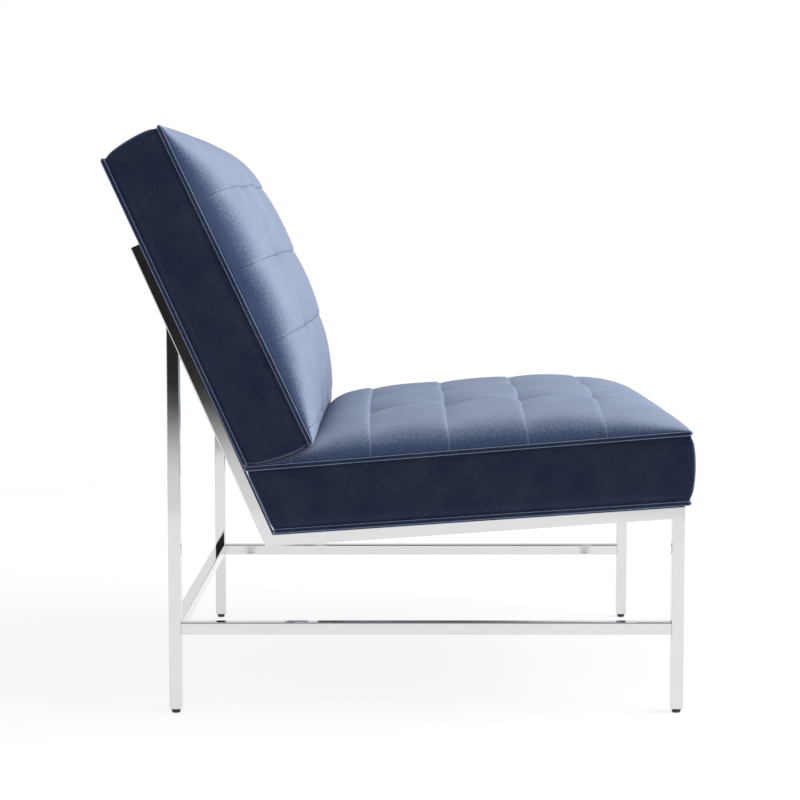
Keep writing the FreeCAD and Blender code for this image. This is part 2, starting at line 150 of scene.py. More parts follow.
@dataclass(frozen=True)
class CottonVelvet(Finish):
    """Cut-pile cotton velvet: near black where it faces the eye, with a painted pale sheen in its
    colour where it turns away.
    """

    name: str = "cotton_velvet"
    slot: str = "velvet"
    light: str = "32394B"
    dark: str = "232A42"
    # painted sheen colours: pale where the cloth turns away, and a bluer slate before that
    painted_sheen: str = "A9B5CD"
    painted_sheen_dark: str = "9FABC5"
    painted_sheen_mid: str = "657BAC"
    sheen: str = "95A3C4"
    pile_spacing: float = 1.6 * MM
    pile_relief: float = 0.25 * MM
    brush_length: float = 60 * MM
    mottle: Fade = Fade(0.75, 1.25)
    tuft_spread: float = 0.22
    painted_sheen_range: Fade = Fade(0.38, 0.61)
    early_painted_sheen: Fade = Fade(0.05, 0.7, after=0.5)
    sheen_weight: float = 0.15
    sheen_roughness: float = 0.4

    def material(self) -> bpy.types.Material:
        """Makes velvet with tufts of pile in its colour and bump, a painted pale sheen in its colour
        where it turns away, and the shader's own sheen.

        Returns:
            The material.
        """
        made, tree, out = self.start()
        place = add_node(tree, "ShaderNodeTexCoord").outputs["Object"]
        # the pile's own grain is 0.3 mm; it is drawn 1.6 mm apart so that it shows
        pile = add_node(tree, "ShaderNodeTexNoise", {
            "Vector": place, "Scale": 1 / self.pile_spacing, "Detail": 2.0}).outputs["Fac"]
        # the pile lies this way and that in patches a hand's breadth across
        brushed = add_node(tree, "ShaderNodeTexNoise", {
            "Vector": place, "Scale": 1 / self.brush_length, "Detail": 3.0}).outputs["Fac"]
        mixed = add_node(tree, "ShaderNodeMath", {0: pile, 1: brushed}, operation="ADD")
        mottle = add_node(tree, "ShaderNodeMapRange", self.mottle.inputs(mixed.outputs[0]))
        deep = add_node(tree, "ShaderNodeMix", {
            "Factor": mottle.outputs[0], 6: srgb(self.dark), 7: srgb(self.light)}, data_type="RGBA")
        pale = add_node(tree, "ShaderNodeMix", {
            "Factor": mottle.outputs[0], 6: srgb(self.painted_sheen_dark), 7: srgb(self.painted_sheen)},
            data_type="RGBA")
        bump = add_node(tree, "ShaderNodeBump", {
            "Height": pile, "Strength": 0.5, "Distance": self.pile_relief})
        # painted sheen: the colour turns pale where the cloth turns away from the eye, unevenly tuft
        # by tuft
        away = add_node(tree, "ShaderNodeLayerWeight", {"Blend": 0.5, "Normal": bump.outputs[0]})
        tufts = Fade(0.0, 1.0, -self.tuft_spread / 2, self.tuft_spread / 2)
        uneven = add_node(tree, "ShaderNodeMapRange", tufts.inputs(pile))
        turned = add_node(tree, "ShaderNodeMath", {
            0: away.outputs["Facing"], 1: uneven.outputs[0]}, operation="ADD").outputs[0]
        painted_sheen_range = add_node(tree, "ShaderNodeMapRange", self.painted_sheen_range.inputs(turned),
                        interpolation_type="SMOOTHSTEP")
        # painted seam light and shade: a painted highlight along a stitched line where its value is
        # 1, painted shade where it is -1
        seam = add_node(tree, "ShaderNodeAttribute", attribute_name="painted_seam_light")
        lit = add_node(tree, "ShaderNodeMath", {0: painted_sheen_range.outputs[0], 1: seam.outputs["Fac"]},
                       operation="ADD", use_clamp=True)
        # before that a weaker painted sheen rises, a little bluer than its depth
        early_painted_sheen = add_node(tree, "ShaderNodeMapRange", self.early_painted_sheen.inputs(turned))
        depth_with_early_sheen = add_node(tree, "ShaderNodeMix", {
            "Factor": early_painted_sheen.outputs[0], 6: deep.outputs[2], 7: srgb(self.painted_sheen_mid)}, data_type="RGBA")
        colour = add_node(tree, "ShaderNodeMix", {
            "Factor": lit.outputs[0], 6: depth_with_early_sheen.outputs[2], 7: pale.outputs[2]}, data_type="RGBA")
        skin = add_node(tree, "ShaderNodeBsdfPrincipled", {
            "Base Color": colour.outputs[2], "Roughness": 1.0, "Specular IOR Level": 0.0,
            "Sheen Weight": self.sheen_weight, "Sheen Roughness": self.sheen_roughness,
            "Sheen Tint": srgb(self.sheen), "Normal": bump.outputs[0]})
        tree.links.new(skin.outputs[0], out.inputs[0])
        return made


@dataclass(frozen=True)
class PolishedSteel(Finish):
    """Mirror-polished stainless tube: it shows the studio, through a very faint buffing haze."""

    name: str = "polished_stainless_tube"
    slot: str = "polished_tube"
    light: str = "E3E3E4"
    dark: str = "DADBDC"
    haze_per_metre: float = 30.0
    roughness: Fade = Fade(0.0, 1.0, 0.03, 0.09)

    def material(self) -> bpy.types.Material:
        """Makes a bright metal with a faint haze in its colour and roughness.

        Returns:
            The material.
        """
        made, tree, out = self.start()
        place = add_node(tree, "ShaderNodeTexCoord").outputs["Object"]
        # buffing leaves a haze a few centimetres across
        haze = add_node(tree, "ShaderNodeTexNoise", {
            "Vector": place, "Scale": self.haze_per_metre, "Detail": 4.0}).outputs["Fac"]
        rough = add_node(tree, "ShaderNodeMapRange", self.roughness.inputs(haze))
        tone = add_node(tree, "ShaderNodeMix", {
            "Factor": haze, 6: srgb(self.dark), 7: srgb(self.light)}, data_type="RGBA")
        skin = add_node(tree, "ShaderNodeBsdfPrincipled", {
            "Base Color": tone.outputs[2], "Metallic": 1.0, "Roughness": rough.outputs[0]})
        tree.links.new(skin.outputs[0], out.inputs[0])
        return made


@dataclass(frozen=True)
class GrainedSolid(Finish):
    """A matt solid with a fine grain: moulded nylon, cut foam, zinc plate or bonded cloth."""

    grain: float
    relief: float
    roughness: float
    roughness_spread: float = 0.08
    metallic: float = 0.0
    stretch: tuple[float, float, float] = (1.0, 1.0, 1.0)

    def material(self) -> bpy.types.Material:
        """Makes the solid, with its grain in its colour, roughness and bump.

        Returns:
            The material.
        """
        made, tree, out = self.start()
        place = add_node(tree, "ShaderNodeTexCoord").outputs["Object"]
        laid = add_node(tree, "ShaderNodeMapping", {"Vector": place, "Scale": self.stretch})
        grain = add_node(tree, "ShaderNodeTexNoise", {
            "Vector": laid.outputs[0], "Scale": 1 / self.grain, "Detail": 3.0}).outputs["Fac"]
        tone = add_node(tree, "ShaderNodeMix", {
            "Factor": grain, 6: srgb(self.dark), 7: srgb(self.light)}, data_type="RGBA")
        uneven = Fade(0.0, 1.0, self.roughness - self.roughness_spread,
                      self.roughness + self.roughness_spread)
        rough = add_node(tree, "ShaderNodeMapRange", uneven.inputs(grain))
        bump = add_node(tree, "ShaderNodeBump", {
            "Height": grain, "Strength": 0.5, "Distance": self.relief})
        skin = add_node(tree, "ShaderNodeBsdfPrincipled", {
            "Base Color": tone.outputs[2], "Roughness": rough.outputs[0],
            "Metallic": self.metallic, "Normal": bump.outputs[0]})
        tree.links.new(skin.outputs[0], out.inputs[0])
        return made


class Finishes(Enum):
    """Every finish on the chair."""

    # woven and cut cotton pile: dark and deep face on, with a painted pale blue sheen where it turns
    # away
    VELVET = CottonVelvet()
    # the same velvet on the piping cord, its painted sheen darker and starting at a smaller turn
    CORD = CottonVelvet(name="cotton_velvet_on_cord", painted_sheen="8F9AB2", painted_sheen_dark="8792AD",
                        painted_sheen_range=Fade(0.14, 0.64))
    # welded and mirror-polished stainless steel: bright, with the studio's dark bands in it
    TUBE = PolishedSteel()
    # injection-moulded nylon: black, with a fine sparked grain
    NYLON = GrainedSolid("moulded_black_nylon", "black_plastic", "242425", "151516",
                         grain=0.6 * MM, relief=0.03 * MM, roughness=0.42)
    # rotary-cut birch plywood: pale, with grain drawn out along the board
    BIRCH = GrainedSolid("bare_birch_plywood", "plywood", "D9BE93", "B08D5F",
                         grain=6 * MM, relief=0.1 * MM, roughness=0.7, stretch=(0.1, 1.0, 1.0))
    # flexible polyurethane foam: cream, open cells about a millimetre across
    FOAM = GrainedSolid("cut_polyurethane_foam", "foam", "EFE6C6", "D2C49A",
                        grain=1.2 * MM, relief=0.4 * MM, roughness=0.95)
    # spun-bonded polypropylene: black and felted
    FELT = GrainedSolid("spun_bonded_dust_cloth", "dust_cloth", "1D1D1F", "0E0E10",
                        grain=1.5 * MM, relief=0.2 * MM, roughness=0.92)
    # zinc-plated mild steel: grey with a satin spangle
    ZINC = GrainedSolid("zinc_plated_steel", "fixing_steel", "C2C5C9", "8F9398",
                        grain=3 * MM, relief=0.02 * MM, roughness=0.34, metallic=1.0)

    def material(self) -> bpy.types.Material:
        """Returns this finish's material, made once."""
        return bpy.data.materials.get(self.value.name) or self.value.material()


# ---------------------------------------------------------------- side view


Point = tuple[float, float]


@dataclass(frozen=True)
class SidePlane:
    """A plane that is seen edge on from the chair's side."""

    origin: Point
    along: Point
    out: Point

    def point(self, p: float, q: float) -> Point:
        """Returns the side-view point p along the plane and q out of it."""
        return (self.origin[0] + self.along[0] * p + self.out[0] * q,
                self.origin[1] + self.along[1] * p + self.out[1] * q)


def meet(a0: Point, a1: Point, b0: Point, b1: Point) -> Point:
    """Finds where two side-view lines cross.

    Args:
        a0: a point of the first line.
        a1: another point of it.
        b0: a point of the second line.
        b1: another point of it.

    Returns:
        The crossing.
    """
    ay, az, by, bz = a1[0] - a0[0], a1[1] - a0[1], b1[0] - b0[0], b1[1] - b0[1]
    k = ((b0[0] - a0[0]) * bz - (b0[1] - a0[1]) * by) / (ay * bz - az * by)
    return (a0[0] + ay * k, a0[1] + az * k)


def between(a: Point, b: Point, k: float) -> Point:
    """Returns the point at share k of the way from a to b."""
    return (a[0] + (b[0] - a[0]) * k, a[1] + (b[1] - a[1]) * k)


def moved(a: Point, direction: Point, distance: float) -> Point:
    """Returns a moved along a direction."""
    return (a[0] + direction[0] * distance, a[1] + direction[1] * distance)


def unit(a: Point, b: Point) -> Point:
    """Returns the direction from a to b."""
    length = math.dist(a, b)
    return ((b[0] - a[0]) / length, (b[1] - a[1]) / length)


def eased(k: float) -> float:
    """Returns k, which runs from 0 to 1, with a gentle start and end."""
    return k * k * (3 - 2 * k)


@dataclass(frozen=True)
class Rails:
    """The planes of the frame's two pairs of rails, as the source sets them."""

    tube: float = 17.5 * MM
    leg_depth: float = 715 * MM
    corner_y: float = -135 * MM
    corner_z: float = 233.8 * MM
    seat_slope: float = 3.93
    recline: float = 23.93

    @property
    def corner(self) -> Point:
        """Returns where the rails' outer faces meet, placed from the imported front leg."""
        return (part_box("left_front_leg")[0].y + self.leg_depth + self.corner_y, self.corner_z)

    def seat(self) -> SidePlane:
        """Returns the underside of the seat rails, forwards."""
        t = math.radians(self.seat_slope)
        return SidePlane(self.corner, (-math.cos(t), math.sin(t)), (math.sin(t), math.cos(t)))

    def back(self) -> SidePlane:
        """Returns the rear face of the back rails, upwards."""
        t = math.radians(self.recline)
        return SidePlane(self.corner, (math.sin(t), math.cos(t)), (-math.cos(t), math.sin(t)))


# ---------------------------------------------------------------- sewing


@dataclass(frozen=True)
class Crown:
    """How the top panel swells over its edges.

    A power sets how flat the middle is, across to the sides and along to the high and low edges.
    The root that follows it sets how steeply the panel leaves that edge.
    """

    height: float
    side: float
    high: tuple[float, float]
    low: tuple[float, float]
    peak: float = 0.5

    def share(self, across: float, along: float) -> float:
        """Works out how much of its height the crown has at a point.

        Args:
            across: from -1 to 1 across the cushion.
            along: from 0 at the high edge to 1 at the low edge.

        Returns:
            The share, from 0 to 1.
        """
        t = (along - self.peak) / (self.peak if along < self.peak else 1 - self.peak)
        power, root = self.high if t < 0 else self.low
        ends = max(0.0, 1 - abs(t) ** power) ** root
        sides = max(0.0, 1 - abs(across) ** self.side)
        # each edge keeps its own slope up to the corners, as a stuffed panel does
        return ends * sides / (ends + sides - ends * sides) if ends and sides else 0.0


@dataclass(frozen=True)
class Quilting:
    """How the top panel is sewn down: four columns of cells, in rows of a fixed pitch.

    A row's seam is a step: the panel rises from it over the short run on the lapping side and over
    the long run on the other. A column's seam sinks between the rows and is drawn down to the
    tuft's depth where it crosses one. Along a seam whose light is over 0 a painted highlight is
    added to the colour, and painted shade where it is under 0.
    """

    first: float
    pitch: float
    rows: int
    tuft: float
    row_light: float
    laps_low: bool
    column_light: float = -0.3
    last_shift: float = 0.0
    columns: int = 4
    sink: float = 3 * MM
    narrowness: int = 8
    channel: float = 3.2 * MM
    long_run: float = 14 * MM
    short_run: float = 2.2 * MM
    groove: float = 1.3 * MM
    groove_run: float = 1.5 * MM
    least_row: float = 20 * MM
    flush: float = 90 * MM
    end_flush: float = 25 * MM

    def seams(self, length: float) -> list[float]:
        """Places the rows' seams on a panel.

        Args:
            length: the panel's length.

        Returns:
            Their distances from its high edge.
        """
        places = [self.first + i * self.pitch for i in range(self.rows - 1)]
        kept = [s for s in places if s < length - self.least_row]
        return kept[:-1] + [kept[-1] + self.last_shift]


def graded(stops: Sequence[float], near: Sequence[float], widest: float) -> list[float]:
    """Spaces mesh lines finely beside each stop and evenly between.

    Args:
        stops: lines that must be there, in order.
        near: distances from a stop of its close lines.
        widest: the widest gap between lines.

    Returns:
        The lines' places, in order.
    """
    lines: list[float] = []
    for a, b in zip(stops, stops[1:]):
        close = [d for d in near if d < (b - a) * CLOSE_REACH]
        left = [a] + [a + d for d in close]
        right = [b - d for d in reversed(close)]
        gap = right[0] - left[-1] if right else b - left[-1]
        count = max(1, math.ceil(gap / widest))
        lines += left + [left[-1] + gap * i / count for i in range(1, count)] + right
    return lines + [stops[-1]]


def panel_lines(seams: Sequence[float], inset: float) -> list[float]:
    """Spaces the mesh lines of a panel, with its outer cells graded for its steep edges.

    Args:
        seams: the panel's edges and the seams between them, in order.
        inset: how far in the piping's middle lies.

    Returns:
        The lines' places, in order.
    """
    edge, first, last = [inset, *BESIDE_PIPING], seams[1], seams[-2]
    inner = [v for v in graded(seams, BESIDE_SEAM, PANEL_GAP) if first <= v <= last]
    low = [v for v in graded([seams[0], first], edge, PANEL_GAP) if v < first - PANEL_GAP]
    high = [v for v in graded([last, seams[-1]], edge, PANEL_GAP) if v > last + PANEL_GAP]
    return (low + [first - d for d in reversed(BESIDE_SEAM)] + inner
            + [last + d for d in BESIDE_SEAM] + high)


@dataclass(frozen=True)
class Cord:
    """The piping's cord: straight runs that turn tightly at four corners."""

    radius: float = 3.25 * MM
    turn: float = 3.4 * MM
    sides: int = 20
    step: float = 25 * MM
    turn_steps: int = 6
    join: float = 0.4 * MM

    def sweep(self, corners: Sequence[Vector]) -> bmesh.types.BMesh:
        """Sweeps the cord round a loop.

        Args:
            corners: the four corners of its middle line, in order.

        Returns:
            The closed loop.
        """
        bm = bmesh.new()
        forward = (corners[1] - corners[0]).normalized()
        aim = forward.to_track_quat("Z", "Y").to_matrix().to_4x4()
        start = Matrix.Translation(corners[0] + forward * self.turn) @ aim
        bmesh.ops.create_circle(bm, segments=self.sides, radius=self.radius, matrix=start)
        last = bm.edges[:]
        for i in range(4):
            here, there, after = corners[i], corners[(i + 1) % 4], corners[(i + 2) % 4]
            run, turned = (there - here).normalized(), (after - there).normalized()
            length = (there - here).length - 2 * self.turn
            steps = max(1, round(length / self.step))
            for _ in range(steps):
                grown = bmesh.ops.extrude_edge_only(bm, edges=last)["geom"]
                ring = [g for g in grown if isinstance(g, bmesh.types.BMVert)]
                bmesh.ops.translate(bm, verts=ring, vec=run * (length / steps))
                last = [g for g in grown if isinstance(g, bmesh.types.BMEdge)]
            spun = bmesh.ops.spin(
                bm, geom=last, cent=there - run * self.turn + turned * self.turn,
                axis=run.cross(turned), angle=run.angle(turned), steps=self.turn_steps,
                use_duplicate=False)
            last = [g for g in spun["geom_last"] if isinstance(g, bmesh.types.BMEdge)]
        bmesh.ops.remove_doubles(bm, verts=bm.verts[:], dist=self.join)
        bmesh.ops.recalc_face_normals(bm, faces=bm.faces[:])
        return bm


# ---------------------------------------------------------------- cushions


@dataclass
class Cushion:
    """A boxed cushion with a crowned quilted top panel, piped round both edges.

    Its outline is its side view's corners: low, high, high top and low top. The high edge is the
    seat's front or the back's top, and s is the distance from there.
    """

    name: str
    outline: tuple[Point, Point, Point, Point]
    up: Point
    crown: Crown
    quilting: Quilting
    half: float = 361.55 * MM
    # how far the boxing bulges, and how far from an end it still does
    high_bulge: float = 6 * MM
    low_bulge: float = 0.0
    side_bulge: float = 3.5 * MM
    bulge_run: float = 40 * MM
    side_run: float = 60 * MM
    # how far the boxing is drawn in beside the piping, and from where to where it comes out
    tuck: float = 3 * MM
    end_tuck: float = 2 * MM
    tuck_start: float = 6 * MM
    tuck_run: float = 13 * MM
    corner_round: float = 1.6 * MM
    # a painted sheen line down the boxing's corners
    corner_light: float = 0.15
    piping_inset: float = 2 * MM
    # how another cushion presses in
    gap: float = 1 * MM
    dent_run: float = 20 * MM
    # how near its seams, ends and dents the panel is held
    seam_hold: float = 3 * MM
    end_hold: float = 60 * MM
    low_hold: float = 80 * MM
    dent_hold: float = 3 * MM

    def __post_init__(self) -> None:
        """Lays out the mesh lines across, along and through the cushion."""
        _, high, high_top, low_top = self.outline
        self.length = math.dist(high_top, low_top)
        self.depth = math.dist(high, high_top)
        self.down = Vector((0.0, *unit(high_top, low_top)))
        self.rows = self.quilting.seams(self.length)
        count = self.quilting.columns
        columns = [2 * self.half * i / count for i in range(count + 1)]
        self.across = panel_lines(columns, self.piping_inset)
        self.along = panel_lines([0.0, *self.rows, self.length], self.piping_inset)
        self.through = graded([0.0, self.depth], BESIDE_EDGE, BOXING_GAP)

    def seam_gap(self, x: float, s: float) -> tuple[float, float]:
        """Measures how far a point of the top panel is from its seams.

        Args:
            x: the point's X.
            s: its distance from the high edge.

        Returns:
            The distance to the nearest column's seam and, signed, to the nearest row's.
        """
        column = 2 * self.half / self.quilting.columns
        inner = [i * column - self.half for i in range(1, self.quilting.columns)]
        return min(abs(x - c) for c in inner), min((s - r for r in self.rows), key=abs)

    def dip(self, x: float, s: float) -> float:
        """Works out how far the quilting holds the top panel down at a point.

        Args:
            x: the point's X.
            s: its distance from the high edge.

        Returns:
            The depth under the crown.
        """
        quilting = self.quilting
        across, down = self.seam_gap(x, s)
        wave = math.cos(math.pi * quilting.columns * (x / self.half + 1) / 2)
        column = (self.half - abs(x) > quilting.flush) * wave ** quilting.narrowness
        stops = [0.0, *self.rows, self.length]
        row = min(max(sum(s >= stop for stop in stops) - 1, 0), len(stops) - 2)
        t = 2 * (s - stops[row]) / (stops[row + 1] - stops[row]) - 1
        outer = (t < 0 and row == 0) or (t > 0 and row == len(stops) - 2)
        drawn = 0.0 if outer else t * t
        ends = min(1.0, min(s, self.length - s) / quilting.end_flush)
        sides = min(1.0, (self.half - abs(x)) / quilting.flush) ** 2
        run = quilting.short_run if (down > 0) == quilting.laps_low else quilting.long_run
        return ends * (column * (quilting.sink + (quilting.tuft - quilting.sink) * drawn)
                       + quilting.groove * math.exp(-across / quilting.groove_run)
                       + sides * quilting.channel * math.exp(-abs(down) / run))

    def top(self, x: float, s: float) -> Vector:
        """Places a point of the top panel.

        Args:
            x: the point's X.
            s: its distance from the high edge.

        Returns:
            The point.
        """
        share = self.crown.share(x / self.half, s / self.length)
        rise = self.crown.height * share - self.dip(x, s)
        base = between(self.outline[2], self.outline[3], s / self.length)
        return Vector((x, *moved(base, self.up, rise)))

    def bowed(self, x: float, s: float, t: float) -> Vector:
        """Places a point of the boxing, which bulges and is drawn in beside the piping.

        Args:
            x: the point's X on a flat boxing.
            s: its distance from the high edge.
            t: its share of the way from the base edge to the top edge.

        Returns:
            The point.
        """
        low, high, high_top, low_top = self.outline
        k = s / self.length
        y, z = between(between(high, low, k), between(high_top, low_top, k), t)
        side, end = abs(x) >= self.half - EQUAL, s <= 0 or s >= self.length
        tuck = self.tuck if side and not end else self.end_tuck
        past = min(t, 1 - t) * self.depth - self.tuck_start * tuck / self.tuck
        clear = eased(min(1.0, max(0.0, past) / self.tuck_run))
        swell = 4 * t * (1 - t) * clear
        drawn_in = tuck * (1 - clear) + (self.corner_round if side and end else 0.0)
        ends = ((s, self.high_bulge, 1.0), (self.length - s, self.low_bulge, -1.0))
        for near, bulge, way in ends:
            reach = max(0.0, 1 - near / self.bulge_run) ** 2
            out = reach * bulge * swell - (drawn_in if near <= 0 else 0.0)
            y, z = moved((y, z), unit(low_top, high_top), way * out)
        if side:
            inner = min(s, self.length - s, self.side_run) / self.side_run
            out = self.side_bulge * swell * math.sin(math.pi / 2 * inner) - drawn_in
            x += math.copysign(1.0, x) * out
        return Vector((x, y, z))

    def place(self, i: int, j: int, k: int) -> Vector:
        """Places a mesh point.

        Args:
            i: its line across.
            j: its line along.
            k: its line through.

        Returns:
            The point.
        """
        x, s = self.across[i] - self.half, self.along[j]
        rim = i in (0, len(self.across) - 1) or j in (0, len(self.along) - 1)
        base, lid = k == 0, k == len(self.through) - 1
        if rim:
            return self.edge(x, s, lid) if base or lid else self.bowed(
                x, s, self.through[k] / self.depth)
        if lid:
            return self.top(x, s)
        return Vector((x, *between(self.outline[1], self.outline[0], s / self.length)))

    def edge(self, x: float, s: float, lid: bool) -> Vector:
        """Places a point of the seam under the piping, which runs down the piping's middle.

        Args:
            x: the point's X on a square edge.
            s: its distance from the high edge.
            lid: True for the edge of the top panel.

        Returns:
            The point.
        """
        low, high, high_top, low_top = self.outline
        a, b, other = (high_top, low_top, high) if lid else (high, low, high_top)
        s = min(max(s, self.piping_inset), self.length - self.piping_inset)
        x = math.copysign(min(abs(x), self.half - self.piping_inset), x)
        seam = between(a, b, s / self.length)
        return Vector((x, *moved(seam, unit(a, other), self.piping_inset)))

    def hold(self, x: float, s: float) -> float:
        """Works out how far the top panel is held at a point.

        Args:
            x: the point's X.
            s: its distance from the high edge.

        Returns:
            From 0, free, to 1, sewn down.
        """
        side, end, low = self.half - abs(x), min(s, self.length - s), self.length - s
        free = min(1.0, side / self.quilting.flush, end / self.end_hold, low / self.low_hold)
        seam = min(map(abs, self.seam_gap(x, s)))
        return 1.0 if seam < self.seam_hold else 1 - eased(free)

    def seam_light_and_shade(self, x: float, s: float) -> float:
        """Returns the painted highlight, or under 0 the painted shade, that a stitched line gets at X
        and s.
        """
        across, down = (abs(gap) < ON_SEAM for gap in self.seam_gap(x, s))
        return self.quilting.row_light * down + self.quilting.column_light * across

    def core(self, wall: float, board: float, trim: float = 1 * MM) -> "Cushion":
        """Derives the form of the foam.

        Args:
            wall: how far it lies inside the cover.
            board: how thick the board under it is.
            trim: how far its sides are drawn in beside its edges.

        Returns:
            The form.
        """
        low, high, high_top, low_top = self.outline
        along, beyond = unit(high, low), unit(high_top, low_top)
        outline = (moved(moved(low, along, -wall), self.up, board),
                   moved(moved(high, along, wall), self.up, board),
                   moved(moved(high_top, beyond, wall), self.up, -wall),
                   moved(moved(low_top, beyond, -wall), self.up, -wall))
        return replace(self, outline=outline, half=self.half - wall, tuck=trim, end_tuck=trim,
                       piping_inset=trim, gap=self.gap + wall)

    def shell(self, presser: BVHTree | None = None) -> bmesh.types.BMesh:
        """Builds the closed sewn shell: a grid, drawn out through the cushion's depth and shaped.

        Its points carry a painted highlight or painted shade along the seams and the boxing's
        corners, as an attribute, and say how far they are sewn down, as "held".

        Args:
            presser: a form that presses into the top panel.

        Returns:
            The shell.
        """
        nu, nv, nw = len(self.across) - 1, len(self.along) - 1, len(self.through) - 1
        bm = bmesh.new()
        bmesh.ops.create_grid(bm, x_segments=nu, y_segments=nv, size=1.0)
        lid = bmesh.ops.extrude_face_region(bm, geom=bm.faces[:])["geom"]
        raised = [g for g in lid if isinstance(g, bmesh.types.BMVert)]
        bmesh.ops.translate(bm, verts=raised, vec=(0, 0, 1))
        risers = [e for e in bm.edges if e.verts[0].co.z != e.verts[1].co.z]
        bmesh.ops.subdivide_edges(bm, edges=risers, cuts=nw - 1, use_grid_fill=True)
        painted_seam_light = bm.verts.layers.float.new("painted_seam_light")
        held = bm.verts.layers.float.new("held")
        lines: dict[int, list[bmesh.types.BMVert]] = {}
        for v in bm.verts:
            i, j = round((v.co.x + 1) / 2 * nu), round((v.co.y + 1) / 2 * nv)
            k = round(v.co.z * nw)
            x, s = self.across[i] - self.half, self.along[j]
            v.co = self.place(i, j, k)
            v[held] = self.hold(x, s) if k == nw else 1.0
            if k == nw:
                lines.setdefault(i, []).append(v)
            # the top panel's seams get a painted highlight or painted shade
            if k == nw and 0 < i < nu and 0 < j < nv:
                v[painted_seam_light] = self.seam_light_and_shade(x, s)
            # a painted sheen line down the boxing's corners
            elif i in (0, nu) and j in (0, nv) and 0 < k < nw:
                v[painted_seam_light] = self.corner_light
        for line in lines.values() if presser else ():
            self.press(line, presser, held)
        bmesh.ops.remove_doubles(bm, verts=bm.verts[:], dist=ONE_POINT)
        bmesh.ops.recalc_face_normals(bm, faces=bm.faces[:])
        return bm

    def press(self, line: list[bmesh.types.BMVert], presser: BVHTree,
              held: bmesh.types.BMLayerItem) -> None:
        """Pushes a lengthwise line of the top panel down from a form on its low end, and holds it.

        Args:
            line: the line's points.
            presser: the form that rests there.
            held: the layer that says how far each point is held.
        """
        up = Vector((0.0, *self.up))
        high = Vector((0.0, *self.outline[2]))
        dent, last = 0.0, self.length
        places = [(v, (v.co - high).dot(self.down)) for v in line]
        for v, s in sorted(places, key=lambda pair: -pair[1]):
            hit = presser.ray_cast(v.co - up * self.depth, up, 2 * self.depth)[0]
            own = (v.co - hit).dot(up) + self.gap if hit else 0.0
            dent = max(own, dent * math.exp((s - last) / self.dent_run), 0.0)
            v.co -= up * dent
            v[held] = max(v[held], min(1.0, dent / self.dent_hold))
            last = s

    def piping(self, lid: bool) -> bmesh.types.BMesh:
        """Builds the piping round one edge.

        Args:
            lid: True for the edge of the top panel.

        Returns:
            The closed loop.
        """
        corners = ((self.half, 0.0), (self.half, self.length),
                   (-self.half, self.length), (-self.half, 0.0))
        return Cord().sweep([self.edge(x, s, lid) for x, s in corners])


def finish_piece(name: str, bm: bmesh.types.BMesh, finish: Finishes,
                 nodes: Sequence[str]) -> bpy.types.Object:
    """Turns a bmesh into a smooth-shaded piece that rides on the chair.

    Args:
        name: the piece's name.
        bm: its mesh, which is freed.
        finish: its finish.
        nodes: the CAD nodes that it stands for.

    Returns:
        The piece.
    """
    mesh = bpy.data.meshes.new(name)
    bm.to_mesh(mesh)
    bm.free()
    mesh.shade_smooth()
    piece = bpy.data.objects.new(name, mesh)
    bpy.context.scene.collection.objects.link(piece)
    mesh.materials.append(finish.material())
    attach(piece, BODY)
    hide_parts(*nodes)
    log.info("%s: %d faces for %s", name, len(mesh.polygons), ", ".join(nodes))
    return piece


@dataclass(frozen=True)
class Stuffing:
    """The fill that swells a sewn cover between its seams, found with the cloth simulation."""

    pressure: float = 4.0
    frames: int = 20
    cap: float = 3 * MM
    sewn: float = 0.9

    def plump(self, cover: bpy.types.Object) -> None:
        """Simulates a cover and keeps the result in its mesh.

        Each point's move is capped, and is less the more the point is held.

        Args:
            cover: a closed cover whose "held" attribute says how far each point is sewn down.
        """
        mesh, scene = cover.data, bpy.context.scene
        held = cover.vertex_groups.new(name="held")
        for v, weight in zip(mesh.vertices, mesh.attributes["held"].data):
            held.add([v.index], float(weight.value > self.sewn), "REPLACE")
        cloth = cover.modifiers.new("stuffing", "CLOTH")
        cloth.collision_settings.use_collision = False
        cloth.point_cache.frame_end = self.frames
        settings = cloth.settings
        settings.vertex_group_mass = held.name
        settings.use_pressure = True
        settings.uniform_pressure_force = self.pressure
        settings.effector_weights.gravity = 0.0
        for number in range(1, self.frames + 1):
            scene.frame_set(number)
        swollen = cover.evaluated_get(bpy.context.evaluated_depsgraph_get()).data
        steps = [b.co - a.co for a, b in zip(mesh.vertices, swollen.vertices)]
        for v, step, weight in zip(mesh.vertices, steps, mesh.attributes["held"].data):
            if step.length > 0:
                capped = self.cap * math.tanh(step.length / self.cap)
                v.co += step * ((1 - weight.value) * capped / step.length)
        cover.modifiers.remove(cloth)
        cover.vertex_groups.clear()
        scene.frame_set(1)
        log.info("%s: swelled by %.1f mm at most", cover.name, max(s.length for s in steps) / MM)


@dataclass
class Upholstery:
    """What the two cushions share: where they sit on the rails and what fills them."""

    rails: Rails
    proud: float = 1.55 * MM
    wadding: float = 8 * MM
    board: float = 13.5 * MM

    @property
    def level(self) -> float:
        """Returns how far a cushion's base is from the rails' outer faces."""
        return self.rails.tube + self.proud

    def upholster(self, form: Cushion, presser: BVHTree | None = None) -> None:
        """Builds a cushion's stuffed cover and the foam in it.

        Args:
            form: the cushion's sewn form.
            presser: a form that presses into its top panel.
        """
        cover = finish_piece(f"{form.name}_cushion_cover", form.shell(presser), Finishes.VELVET,
                             [f"{form.name}_cover"])
        Stuffing().plump(cover)
        smooth = cover.modifiers.new("smooth", "SUBSURF")
        smooth.levels = smooth.render_levels = 1
        block = form.core(self.wadding, self.board).shell(presser)
        foam = finish_piece(f"{form.name}_cushion_foam", block, Finishes.FOAM,
                            [f"{form.name}_foam"])


